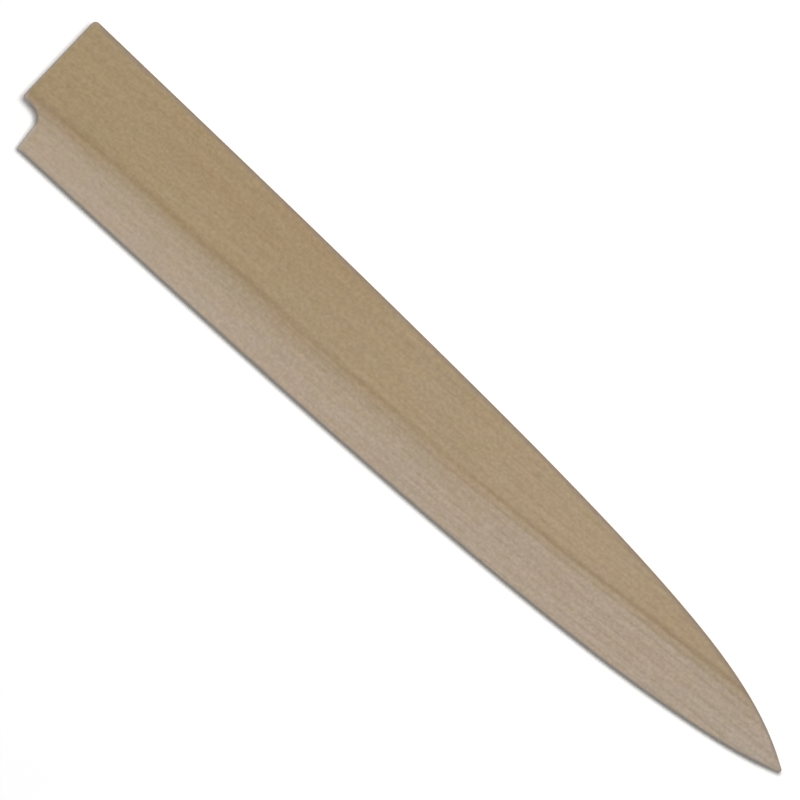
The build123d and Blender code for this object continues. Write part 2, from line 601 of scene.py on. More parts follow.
    def _pocket_side(self, start: Array, line: Array, inward: int) -> Array:
        """One side of the pocket, a glued rim's width inside the outline.

        Args:
            start: First point, on the mouth path.
            line: Function that gives the outline's place across the sheath.
            inward: 1 for the cutting-edge side and -1 for the spine side.

        Returns:
            The side's points, from the mouth to the pocket's end.
        """
        form = self.form
        first_x = start[0] + form.mouth_lead_in
        shares = toward_end(self.columns, self.crowding)
        x = np.concatenate([[start[0]], first_x + shares * (self.pocket_end[0] - first_x)])
        side = np.stack([x, line(x) + inward * form.glued_rim_width], axis=1)
        side[0], side[-1] = start, self.pocket_end
        return side

    @cached_property
    def pocket_end(self) -> Array:
        """Pocket's end, where its two sides meet: there the outline is two glued rims wide.

        Returns:
            The place in the plan.
        """
        form = self.form
        x = self.near_tip(self.pocket_end_search)
        width = form.spine_y_at(x) - form.edge_y_at(x)
        end_x = float(np.interp(2 * form.glued_rim_width, width[::-1], x[::-1]))
        return np.array([end_x, form.edge_y_at(end_x) + form.glued_rim_width])

    @cached_property
    def pocket_edge_side(self) -> Array:
        """Pocket's side towards the cutting edge."""
        return self._pocket_side(self.mouth[self.slot[0]], self.form.edge_y_at, 1)

    @cached_property
    def pocket_spine_side(self) -> Array:
        """Pocket's side towards the spine."""
        return self._pocket_side(self.mouth[self.slot[1]], self.form.spine_y_at, -1)

    @cached_property
    def pocket(self) -> Array:
        """Plan of the pocket.

        Its first column is the mouth path. Its second one is that path moved inwards by the
        lead-in, and drawn in evenly on the spine side.

        Returns:
            Columns from the mouth to the pocket's end, and rows from edge to spine.
        """
        low, high = self.slot
        lead = self.form.mouth_lead_in
        inner = inward_shift(self.outline, lead)[self.slot_number]
        above_notch = self.mouth[low: high + 1, 1] - self.form.notch_top_y
        inner[:, 1] -= lead * np.clip(above_notch / above_notch[-1], 0, 1)
        edge, spine = self.pocket_edge_side, self.pocket_spine_side
        inner[0], inner[-1] = edge[1], spine[1]
        rest = filled_plan(edge[1:], spine[1:], [inner], self.bulge_reach)
        return np.concatenate([self.mouth[None, low: high + 1], rest])

    @cached_property
    def pocket_wall(self) -> Array:
        """Pocket's side round its end, from the edge side to the spine side."""
        return np.concatenate([self.pocket_edge_side, self.pocket_spine_side[::-1][1:]])

    @cached_property
    def glued_rim(self) -> Array:
        """Plan of the rim round the pocket.

        Returns:
            Columns from its end at the notch, round the tip, to its end at the mouth, and rows
            from the pocket to the outline.
        """
        low, high = self.slot
        outer = np.concatenate([self.edge_side, self.spine_side[::-1][1:]])
        ends = [self.mouth[low::-1], self.mouth[high:]]
        return filled_plan(self.pocket_wall, outer, ends, self.rim_bulge_reach)


# ----------------------------------------
# Skins
# ----------------------------------------


class Cut(Enum):
    """How a surface was made."""

    PLANED = 0.0
    CARVED = 1.0


class Skin:
    """Closed surface that is put together from grids of points."""

    def __init__(self) -> None:
        """Starts with no grids."""
        self._places: list[Array] = []
        self._corners: list[Array] = []
        self._cuts: list[Array] = []
        self._count = 0

    def add(self, plan: Array, height: Places, turned: bool, cut: Cut = Cut.PLANED) -> None:
        """Adds a grid of faces.

        A face's corners run along the columns, then along the rows, so its front is where the
        one direction crossed with the other points.

        Args:
            plan: Places in the plan, shape (columns, rows, 2).
            height: Height of each place, shape (columns, rows), or of all of them.
            turned: Whether the faces look the other way.
            cut: How this surface was made.
        """
        grid = np.dstack([plan, np.broadcast_to(height, plan.shape[:2])])
        number = np.arange(grid[..., 0].size).reshape(plan.shape[:2]) + self._count
        corners = np.stack([number[:-1, :-1], number[1:, :-1], number[1:, 1:], number[:-1, 1:]],
                           axis=-1).reshape(-1, 4)
        self._places.append(grid.reshape(-1, 3))
        self._corners.append(corners[:, ::-1] if turned else corners)
        self._cuts.append(np.full(len(corners), cut.value))
        self._count += grid[..., 0].size

    def welded(self) -> tuple[Array, Array, Array, Array]:
        """One set of points for all the grids.

        Points that share a cell of the weld grid become one. A face that has lost one corner
        that way becomes a triangle, and one that has lost more is left out.

        Returns:
            The points, the corners of all faces in a row, each face's number of corners, and
            each face's cut.
        """
        places = np.concatenate(self._places)
        cells = np.round(places / WELD_GRID).astype(np.int64)
        _, first, number = np.unique(cells, axis=0, return_index=True, return_inverse=True)
        corners = number.reshape(-1)[np.concatenate(self._corners)]
        cuts = np.concatenate(self._cuts)
        lost = corners == np.roll(corners, -1, axis=1)
        crossed = (corners[:, 0] == corners[:, 2]) | (corners[:, 1] == corners[:, 3])
        whole = (lost.sum(axis=1) == 0) & ~crossed
        short = (lost.sum(axis=1) == 1) & ~crossed
        kept = (lost[short].argmax(axis=1)[:, None] + np.arange(1, 4)) % 4
        triangles = np.take_along_axis(corners[short], kept, axis=1)
        sides = np.concatenate([np.full(whole.sum(), 4), np.full(short.sum(), 3)])
        row = np.concatenate([corners[whole].reshape(-1), triangles.reshape(-1)])
        return places[first], row, sides, np.concatenate([cuts[whole], cuts[short]])


def skin_mesh(name: str, skin: Skin, crease: float) -> bpy.types.Mesh:
    """Blender mesh of a skin, in metres.

    Args:
        name: Name of the mesh.
        skin: Grids in millimetres.
        crease: Angle in degrees from which an edge is sharp.

    Returns:
        The mesh, with each face's cut as an attribute.
    """
    places, row, sides, cuts = skin.welded()
    mesh = bpy.data.meshes.new(name)
    mesh.vertices.add(len(places))
    mesh.vertices.foreach_set("co", (places * MM).astype(np.float32).reshape(-1))
    mesh.loops.add(len(row))
    mesh.loops.foreach_set("vertex_index", row.astype(np.int32))
    mesh.polygons.add(len(sides))
    starts = np.concatenate([[0], np.cumsum(sides)[:-1]])
    mesh.polygons.foreach_set("loop_start", starts.astype(np.int32))
    mesh.polygons.foreach_set("use_smooth", np.ones(len(sides), bool))
    mesh.update(calc_edges=True)
    mesh.set_sharp_from_angle(angle=math.radians(crease))
    carved = mesh.attributes.new("carved", "FLOAT", "FACE")
    carved.data.foreach_set("value", cuts.astype(np.float32))
    return mesh


def add_point_values(mesh: bpy.types.Mesh, name: str, values: Array) -> None:
    """Puts one number on each point of a mesh, for the materials to read."""
    attribute = mesh.attributes.new(name, "FLOAT", "POINT")
    attribute.data.foreach_set("value", values.astype(np.float32))


def mesh_places(mesh: bpy.types.Mesh) -> Array:
    """Points of a mesh in millimetres.

    Args:
        mesh: The mesh.

    Returns:
        Its points, shape (points, 3).
    """
    flat = np.zeros(len(mesh.vertices) * 3, np.float32)
    mesh.vertices.foreach_get("co", flat)
    return flat.reshape(-1, 3).astype(float) / MM


def distance_to_loop(places: Array, loop: Array, block: int = 2000) -> Array:
    """Shortest distance in the plan from each point to a closed loop's sides.

    The nearest place on a side is the point's shadow on it, held between the side's ends.

    Args:
        places: Points, shape (points, 2).
        loop: Loop's points in order.
        block: Points worked out at a time.

    Returns:
        The distance of each point.
    """
    side = np.roll(loop, -1, axis=0) - loop
    length = (side**2).sum(axis=1)
    nearest = []
    for start in range(0, len(places), block):
        offset = places[start: start + block, None] - loop[None]
        shadow = np.clip((offset * side).sum(axis=2) / length, 0, 1)[..., None]
        nearest.append(np.sqrt(((offset - shadow * side) ** 2).sum(axis=2)).min(axis=1))
    return np.concatenate(nearest)


# ----------------------------------------
# Shader nodes
# ----------------------------------------


class Sum(Enum):
    """Arithmetic of a Math node."""

    ADD = "ADD"
    LESS = "SUBTRACT"
    TIMES = "MULTIPLY"
    OVER = "DIVIDE"
    POWER = "POWER"
    SINE = "SINE"
    SIZE = "ABSOLUTE"
    FRACTION = "FRACT"
    MORE_OF = "MAXIMUM"


class Blend(Enum):
    """How two colours are mixed."""

    MIX = "MIX"
    SHADE = "MULTIPLY"


def operator(what: Sum, turned: bool = False) -> Callable[..., "Value"]:
    """Method of a value that works out a sum with it.

    Args:
        what: The sum.
        turned: Whether the value comes second in it.

    Returns:
        The method.
    """
    def work(value: "Value", other: Feed = 0.0) -> "Value":
        """Output of the sum's node."""
        pair = (other, value) if turned else (value, other)
        return value.bench.calc(what, *pair)
    return work


class Value:
    """Output of a node, which a formula can take like a number."""

    def __init__(self, bench: "Bench", socket: bpy.types.NodeSocket) -> None:
        """Keeps the output's socket and the bench of its tree."""
        self.bench = bench
        self.socket = socket

    __add__ = operator(Sum.ADD)
    __sub__ = operator(Sum.LESS)
    __rsub__ = operator(Sum.LESS, turned=True)
    __mul__ = operator(Sum.TIMES)
    __truediv__ = operator(Sum.OVER)
    __pow__ = operator(Sum.POWER)
    __abs__ = operator(Sum.SIZE)

    def spread(self, low: Feed, high: Feed, to_low: Feed = 0.0, to_high: Feed = 1.0,
               soft: bool = True) -> "Value":
        """Moves this from one range to another and holds it inside it.

        Args:
            low, high: Range that comes in.
            to_low, to_high: Range that goes out.
            soft: Whether the ends of the range are eased.

        Returns:
            The moved value.
        """
        feeds = dict(enumerate((self, low, high, to_low, to_high)))
        return self.bench.out("ShaderNodeMapRange", feeds, clamp=True,
                              interpolation_type="SMOOTHSTEP" if soft else "LINEAR")

    def band(self, start: float, full: float, fall: float, end: float) -> "Value":
        """Mask that comes in over one range of this and goes out over another."""
        return self.spread(start, full) * self.spread(fall, end, 1.0, 0.0)


class Bench:
    """Adds nodes to one shader tree and joins them."""

    def __init__(self, tree: bpy.types.NodeTree) -> None:
        """Keeps the tree that the nodes go into."""
        self.tree = tree

    def feed(self, socket: bpy.types.NodeSocket, value: Feed) -> None:
        """Joins an output to a socket, or sets the socket's own value.

        Args:
            socket: An input.
            value: An output, a number or a colour.
        """
        if isinstance(value, Value):
            self.tree.links.new(value.socket, socket)
        elif isinstance(value, tuple) and socket.type == "RGBA":
            socket.default_value = (*value, 1.0)
        else:
            socket.default_value = value

    def node(self, kind: str, feeds: Feeds, **settings: object) -> bpy.types.Node:
        """New node.

        Args:
            kind: Kind of node.
            feeds: What goes into its inputs, by number or by name.
            settings: Its own settings.

        Returns:
            The node.
        """
        node = self.tree.nodes.new(kind)
        for name, value in settings.items():
            setattr(node, name, value)
        for key, value in feeds.items():
            self.feed(node.inputs[key], value)
        return node

    def out(self, kind: str, feeds: Feeds, output: Union[int, str] = 0,
            **settings: object) -> Value:
        """One output of a new node."""
        return Value(self, self.node(kind, feeds, **settings).outputs[output])

    def calc(self, what: Sum, first: Feed, second: Feed = 0.0) -> Value:
        """Output of a Math node."""
        return self.out("ShaderNodeMath", {0: first, 1: second}, operation=what.value)

    def mix(self, blend: Blend, share: Feed, first: Feed, second: Feed) -> Value:
        """Colour mixed from two."""
        return self.out("ShaderNodeMix", {0: share, 6: first, 7: second}, 2, data_type="RGBA",
                        blend_type=blend.value)

    def vector(self, operation: str, first: Feed, second: Feed) -> Value:
        """Output of a Vector Math node."""
        return self.out("ShaderNodeVectorMath", {0: first, 1: second}, operation=operation)

    def split(self, vector: Feed) -> list[Value]:
        """The three numbers of a vector."""
        node = self.node("ShaderNodeSeparateXYZ", {0: vector})
        return [Value(self, socket) for socket in node.outputs]

    def joined(self, x: Feed, y: Feed, z: Feed = 0.0) -> Value:
        """Vector of three numbers."""
        return self.out("ShaderNodeCombineXYZ", {0: x, 1: y, 2: z})

    def stretched(self, place: Feed, size: Feed, shift: Triple = ORIGIN) -> Value:
        """Place divided by the size of a feature along the three axes, and then shifted."""
        return self.vector("ADD", self.vector("DIVIDE", place, size), shift)

    def noise(self, place: Feed, size: Feed, shift: Triple = ORIGIN, detail: float = 2.0,
              roughness: float = 0.5) -> Value:
        """Soft noise round a half.

        Args:
            place: Place in millimetres.
            size: Size of a feature along the three axes.
            shift: Moves the pattern, so that two patterns don't match.
            detail, roughness: Number and strength of the finer steps.

        Returns:
            The noise.
        """
        feeds = {"Vector": self.stretched(place, size, shift), "Scale": 1.0, "Detail": detail,
                 "Roughness": roughness}
        return self.out("ShaderNodeTexNoise", feeds, noise_dimensions="3D")

    def place(self) -> Value:
        """Place on the piece in millimetres."""
        metres = self.out("ShaderNodeTexCoord", {}, "Object")
        return self.out("ShaderNodeMapping", {"Vector": metres, "Scale": (1 / MM,) * 3})

    def attribute(self, name: str) -> Value:
        """Number that the mesh carries."""
        return self.out("ShaderNodeAttribute", {}, "Fac", attribute_name=name)

    def effect(self, group: bpy.types.NodeTree, **values: Feed) -> dict[str, Value]:
        """Places a shared effect, with its own values.

        Args:
            group: The effect's node group.
            values: Value of each input, its name in lower case with underscores.

        Returns:
            The group's outputs by name.
        """
        feeds = {name.replace("_", " ").title(): value for name, value in values.items()}
        node = self.node("ShaderNodeGroup", feeds, node_tree=group)
        return {socket.name: Value(self, socket) for socket in node.outputs}

    def surface(self, colour: Feed, rough: Feed, height: Feed, depth: float,
                strength: float, specular: float = 0.5) -> None:
        """Gives the material its shader.

        Args:
            colour: Colour of the surface.
            rough: Its roughness.
            height: Its relief.
            depth: Metres that a height of 1 stands for.
            strength: How strongly the relief is seen.
            specular: How strongly it mirrors.
        """
        bump = self.out("ShaderNodeBump", {"Strength": strength, "Distance": depth,
                                           "Height": height})
        shader = self.out("ShaderNodeBsdfPrincipled", {
            "Base Color": colour, "Roughness": rough, "Specular IOR Level": specular,
            "Normal": bump})
        self.node("ShaderNodeOutputMaterial", {"Surface": shader})


def emptied(owner: Union[bpy.types.Material, bpy.types.World]) -> Bench:
    """Empties a shader tree.

    Args:
        owner: Material or world that the tree belongs to.

    Returns:
        The tree's bench.
    """
    owner.use_nodes = True
    owner.node_tree.nodes.clear()
    return Bench(owner.node_tree)


class EffectBench(Bench):
    """Bench of a new node group."""

    def __init__(self, name: str, inputs: dict[str, Union[float, Triple]]) -> None:
        """Makes the group and its inputs.

        Args:
            name: Name of the group.
            inputs: Starting value of each input. A tuple makes a vector input.
        """
        super().__init__(bpy.data.node_groups.new(name, "ShaderNodeTree"))
        for label, value in inputs.items():
            kind = "NodeSocketVector" if isinstance(value, tuple) else "NodeSocketFloat"
            socket = self.tree.interface.new_socket(label, in_out="INPUT", socket_type=kind)
            socket.default_value = value
        entry = self.node("NodeGroupInput", {})
        self.given = [Value(self, entry.outputs[label]) for label in inputs]

    def give(self, values: dict[str, Value]) -> bpy.types.NodeTree:
        """Gives the group its outputs.

        Args:
            values: What comes out of each output.

        Returns:
            The finished group.
        """
        for label in values:
            self.tree.interface.new_socket(label, in_out="OUTPUT", socket_type="NodeSocketFloat")
        self.node("NodeGroupOutput", values)
        return self.tree


# ----------------------------------------
# Shared effects
# ----------------------------------------


NOISE_MIDDLE = 0.5
RING_UNEVENNESS = 0.9  # In rings
EARLY_WOOD = (0.0, 0.12, 0.8, 0.0)  # Ramp of a ring's dark start
LATE_WOOD = 3.0  # Power by which a ring deepens
FIBRE_LENGTH = 38.0  # In fibre widths
LINE_WANDER = 0.5  # In spacings
HALF_SPACING = 0.5


def straight_grain() -> bpy.types.NodeTree:
    """Solid pattern of straight-grained wood.

    Growth rings are shells round a far-off pith: the distance from it, plus a slow wander,
    divided by the ring's width. Within a ring the tone deepens as a power of the way across it,
    and a slow noise sets how clear the ring is. Streaks, fibres and pores are noises drawn out
    along the grain, and flecks are one that is nearly round.

    Returns:
        The group, with Rings, Streaks, Fibres, Flecks and Pores from 0 to 1.
    """
    bench = EffectBench("straight grain", {
        "Place": ORIGIN, "Pith": ORIGIN, "Ring Width": 2.0, "Ring Wander": 1.0,
        "Fibre Width": 0.3})
    place, pith, ring_width, ring_wander, fibre_width = bench.given
    spoke = bench.vector("MULTIPLY", bench.vector("SUBTRACT", place, pith), (0.0, 1.0, 1.0))
    reach = bench.out("ShaderNodeVectorMath", {0: spoke}, "Value", operation="LENGTH")
    slow = bench.noise(place, size=(140.0, 14.0, 14.0), shift=(3.1, 0.4, 7.7))
    uneven = bench.noise(place, size=(90.0, 5.0, 5.0), shift=(9.2, 1.4, 2.6))
    shell = (reach + (slow - NOISE_MIDDLE) * ring_wander) / ring_width
    across = bench.calc(Sum.FRACTION, shell + uneven * RING_UNEVENNESS)
    clear = bench.noise(place, size=(48.0, 4.0, 4.0), shift=(0.7, 6.3, 5.1))
    streaks = bench.noise(place, size=(70.0, 2.6, 2.6), shift=(5.5, 8.1, 0.3), detail=3.0,
                          roughness=0.55)
    fibre = bench.joined(fibre_width * FIBRE_LENGTH, fibre_width, fibre_width)
    fibres = bench.noise(place, size=fibre, shift=(1.7, 2.9, 6.1), detail=3.0, roughness=0.6)
    flecks = bench.noise(place, size=(1.15, 1.05, 1.05), shift=(2.6, 3.7, 9.4), detail=1.5)
    pores = bench.noise(place, size=(2.6, 0.11, 0.11), shift=(0.9, 4.3, 8.8), detail=1.0)
    rings = across**LATE_WOOD + across.spread(*EARLY_WOOD)
    return bench.give({
        "Rings": rings * clear.spread(0.38, 0.68, 0.1, 1.0),
        "Streaks": streaks.spread(0.3, 0.7),
        "Fibres": fibres.spread(0.25, 0.75, soft=False),
        "Flecks": flecks.spread(0.28, 0.72, soft=False),
        "Pores": pores.spread(0.6, 0.72),
    })


def tone_patches() -> bpy.types.NodeTree:
    """Soft patches where the wood's tone changes, at two sizes.

    Returns:
        The group, with Broad and Small from 0 to 1.
    """
    bench = EffectBench("tone patches", {"Place": ORIGIN, "Broad Size": 16.0, "Small Size": 3.0})
    place, broad, small = bench.given
    patches = {}
    for name, size, drawn, shift in (("Broad", broad, 3.5, (2.2, 7.0, 1.1)),
                                     ("Small", small, 2.2, (6.4, 0.8, 3.9))):
        noise = bench.noise(place, size=bench.joined(size * drawn, size, size), shift=shift)
        patches[name] = noise.spread(0.3, 0.7)
    return bench.give(patches)


def tool_marks() -> bpy.types.NodeTree:
    """Low ripples that a plane or a chisel leaves along its path.

    A ripple is the size of a sine across the path, whose phase wanders slowly along it.

    Returns:
        The group, with Height from 0 to 1.
    """
    bench = EffectBench("tool marks", {"Place": ORIGIN, "Pitch": 6.0, "Wander": 0.8})
    place, pitch, wander = bench.given
    slow = bench.noise(place, size=(55.0, 9.0, 9.0), shift=(4.4, 5.2, 0.6))
    across = bench.split(place)[1] / pitch + slow * wander
    return bench.give({"Height": abs(bench.calc(Sum.SINE, across * math.pi))})


def ridge_lines() -> bpy.types.NodeTree:
    """Faint lines side by side along a ridge, where the planed wood's rings come out.

    The distance past the main line is divided by the spacing, which differs on the two sides of
    it, and moved by a slow wander. A line lies at each whole number, and a short noise along it
    breaks it into dashes.

    Returns:
        The group, with Lines from 0 to 1.
    """
    bench = EffectBench("ridge lines", {"Along": 0.0, "Past Line": 0.0, "Spacing Above": 3.0,
                                        "Spacing Below": 2.42, "Width": 0.3})
    along, past_line, above, below, width = bench.given
    spacing = above + past_line.spread(-0.1, 0.1, soft=False) * (below - above)
    place = bench.joined(along, past_line)
    wander = (bench.noise(place, size=(55.0, 9.0, 1.0)) - NOISE_MIDDLE) * LINE_WANDER
    step = bench.calc(Sum.FRACTION, past_line / spacing + HALF_SPACING + wander)
    from_line = abs(step - HALF_SPACING)
    line = from_line.spread(0.0, width, 1.0, 0.0)
    dashes = bench.noise(place, size=(4.5, 1.3, 1.0)).spread(0.34, 0.62, 0.25, 1.0)
    return bench.give({"Lines": line * dashes})


def shaded_worn_rim() -> bpy.types.NodeTree:
    """Painted shade on a rim, partly handling wear, which fades away from it, less evenly further
    in.

    Returns:
        The group, with Shade And Wear from 0 to 1.
    """
    bench = EffectBench("rim shade and wear", {"Place": ORIGIN, "From Rim": 10.0, "Reach": 1.0})
    place, from_rim, reach = bench.given
    share = from_rim / reach
    patchy = bench.noise(place, size=(9.0, 2.0, 2.0), shift=(7.3, 3.3, 5.8), detail=3.0)
    uneven = share + (patchy - NOISE_MIDDLE) * share
    return bench.give({"Shade And Wear": uneven.spread(0.15, 1.0, 1.0, 0.0)})


def end_grain() -> bpy.types.NodeTree:
    """Where the wood is cut across its grain, and the cut ends of its vessels.

    A face shows end grain by the square of how far it looks along the grain.

    Returns:
        The group, with Cross Cut and Vessels from 0 to 1.
    """
    bench = EffectBench("end grain", {"Place": ORIGIN, "Normal": (0.0, 0.0, 1.0)})
    place, normal = bench.given
    looks_along = bench.split(normal)[0]
    dots = bench.out("ShaderNodeTexVoronoi", {
        "Vector": bench.stretched(place, size=(5.0, 0.22, 0.22)), "Scale": 1.0}, "Distance",
        voronoi_dimensions="3D", feature="F1")
    return bench.give({
        "Cross Cut": (looks_along * looks_along).spread(0.55, 0.98),
        "Vessels": dots.spread(0.12, 0.34, 1.0, 0.0),
    })


@dataclass(frozen=True)
class Effects:
    """The shared effects, each built once."""

    grain: bpy.types.NodeTree
    patches: bpy.types.NodeTree
    tools: bpy.types.NodeTree
    lines: bpy.types.NodeTree
    rim_shade_and_wear: bpy.types.NodeTree
    ends: bpy.types.NodeTree


# ----------------------------------------
# Finishes
# ----------------------------------------


@dataclass(frozen=True)
class BareWood:
    """Bare planed magnolia.

    A ramp is a range of a measure, and then what goes out at its two ends where that isn't 0 and
    1. A band is the range where a mask comes in and the one where it goes out. Measures are in
    millimetres, along the sheath or past its ridge.
    """

    name: str
    mouth_tone: Colour
    tip_tone: Colour
    bevel_mouth_tone_with_sheen: Colour
    bevel_tip_tone_with_sheen: Colour
    carved_tone: Colour
    length: Ramp = (-150.0, 150.0)
    level: Ramp = (0.35, 0.8)
    # Grain
    pith: Triple = (0.0, 120.0, 120.0)
    ring_width: float = 1.15
    ring_wander: float = 5.0
    fibre_width: float = 0.34
    grain_tilt: float = 3.4
    grain_dip: float = 0.8
    patch_sizes: Pair = (6.0, 1.8)
    ring_shade: Colour = (0.955, 0.94, 0.92)
    streak_shade: Colour = (0.94, 0.93, 0.915)
    fibre_shade: Colour = (0.955, 0.945, 0.935)
    fleck_shade: Colour = (0.86, 0.85, 0.84)
    fleck_strength: float = 1.2
    bevel_fleck_loss: Ramp = (-110.0, -30.0, 0.28, -0.16)
    pore_shade: Colour = (0.86, 0.83, 0.79)
    pore_strength: float = 0.6
    vessel_strength: float = 0.7
    warm_patch: Colour = (1.02, 0.985, 0.965)
    yellow_patch: Colour = (0.965, 0.98, 0.91)
    end_shade: Colour = (0.84, 0.80, 0.74)
    # Dark line along the ridge, its middle measured past the ridge
    ridge_line_strength: float = 1.0
    ridge_shade: Colour = (0.84, 0.81, 0.78)
    line_middle: Ramp = (-75.0, -10.0, 1.35, 0.76)
    line_dip_at_notch: Ramp = (-146.0, -134.0, 0.36, 0.0)
    line_wander: float = 0.8
    line_wander_size: Triple = (22.0, 400.0, 400.0)
    line_width: Ramp = (-75.0, 30.0, 2.1, 1.2)
    soft_line: Ramp = (-118.0, -88.0, 1.0, 0.0)
    soft_line_lift: float = 0.35
    soft_line_loss: float = 0.32
    thin_line: Ramp = (0.0, 0.85, 0.42, 0.0)
    faint_stretch: Band = (-62.0, -38.0, 8.0, 40.0)
    faint_loss: float = 0.35
    # Faint lines beside it
    line_shade: Colour = (0.90, 0.885, 0.87)
    side_lines: Ramp = (-1.0, 1.0, 0.6, 1.6)
    second_line: Ramp = (3.2, 4.4, 1.0, 0.62)
    clear_of_line: Ramp = (0.9, 1.5)
    lines_along: Ramp = (-60.0, 50.0, 0.35, 1.0)
    # Bevel's tone, paler planed wood with a painted sheen: the first share of it comes in over a
    # short fade, the rest over the reach
    bevel_first_by_mouth: Ramp = (-100.0, -60.0, 0.66, 0.4)
    bevel_first_by_tip: Ramp = (15.0, 55.0, 0.0, 0.44)
    bevel_sooner: Ramp = (-148.0, -125.0, 1.2, 0.0)
    bevel_fade: Ramp = (-75.0, 10.0, 4.5, 3.4)
    bevel_start: float = 0.06
    bevel_reach: float = 13.0
    # Stretches with a shade of their own
    spine_shade: Colour = (0.975, 0.945, 0.92)
    spine_along: Band = (-125.0, -95.0, -45.0, -15.0)
    spine_across: Ramp = (8.0, 18.0)
    tip_shade: Colour = (1.035, 1.07, 1.14)
    tip_along: Ramp = (126.0, 149.0)
    tip_flat_shade: Colour = (0.965, 0.965, 0.955)
    tip_flat_along: Ramp = (78.0, 96.0)
    crest_shade: Colour = (1.035, 1.035, 1.06)
    crest_along: Band = (15.0, 40.0, 66.0, 84.0)
    crest_across: Band = (1.0, 2.6, 8.0, 12.0)
    notch_shade: Colour = (1.0, 0.965, 0.965)
    notch_along: Ramp = (-134.0, -122.0, 1.0, 0.0)
    notch_across: Band = (-0.6, 0.4, 1.8, 4.2)
    # Rims: painted shade on the edge side and the spine side, partly handling wear, and a painted
    # paler tone on the mouth's rims
    ridge_sides: Ramp = (-2.0, 2.0)
    # Painted shade: dark grey tones on the edge-side and spine-side rims, partly handling wear
    rim_tones: tuple[Colour, Colour] = (seen_colour(129, 124, 120), seen_colour(133, 116, 107))
    # Painted light: pale tones on the mouth's rims, notch side then spine side, offset their
    # shading
    mouth_rim_tones: tuple[Colour, Colour] = (seen_colour(187, 175, 163),
                                              seen_colour(170, 157, 144))
    rim_reach: Pair = (1.0, 1.8)
    mouth_rim_reach: Pair = (1.7, 0.8)
    mouth_stretch: Ramp = (-149.4, -146.0)
    notch_run: Ramp = (-6.0, -2.5, 8.8, 0.0)
    rim_strength: float = 0.75
    # Where the steep spine-side rim is left without the painted rim shade
    spared_steep_spine: Ramp = (0.5, 0.97, 1.0, 0.0)
    rim_at_tip: Ramp = (143.0, 148.5, 1.0, 0.4)
    # Roughness, and relief in millimetres. Tool marks have a pitch, a wander and a height
    roughness: float = 0.62
    fibre_roughness: Pair = (0.07, -0.05)
    wear_polish: float = 0.1
    carved_roughness: float = 0.12
    specular: float = 0.32
    relief_strength: float = 0.8
    fibre_height: float = 0.012
    pore_depth: float = 0.02
    ring_depth: float = 0.01
    vessel_depth: float = 0.03
    line_depth: float = 0.012
    planing: Triple = (7.5, 1.2, 0.012)
    carving: Triple = (3.2, 2.5, 0.12)

    def material(self, effects: Effects) -> bpy.types.Material:
        """Makes the material.

        Args:
            effects: The shared effects.

        Returns:
            The material.
        """
        material = bpy.data.materials.new(self.name)
        WoodPainter(self, effects, emptied(material)).paint()
        return material


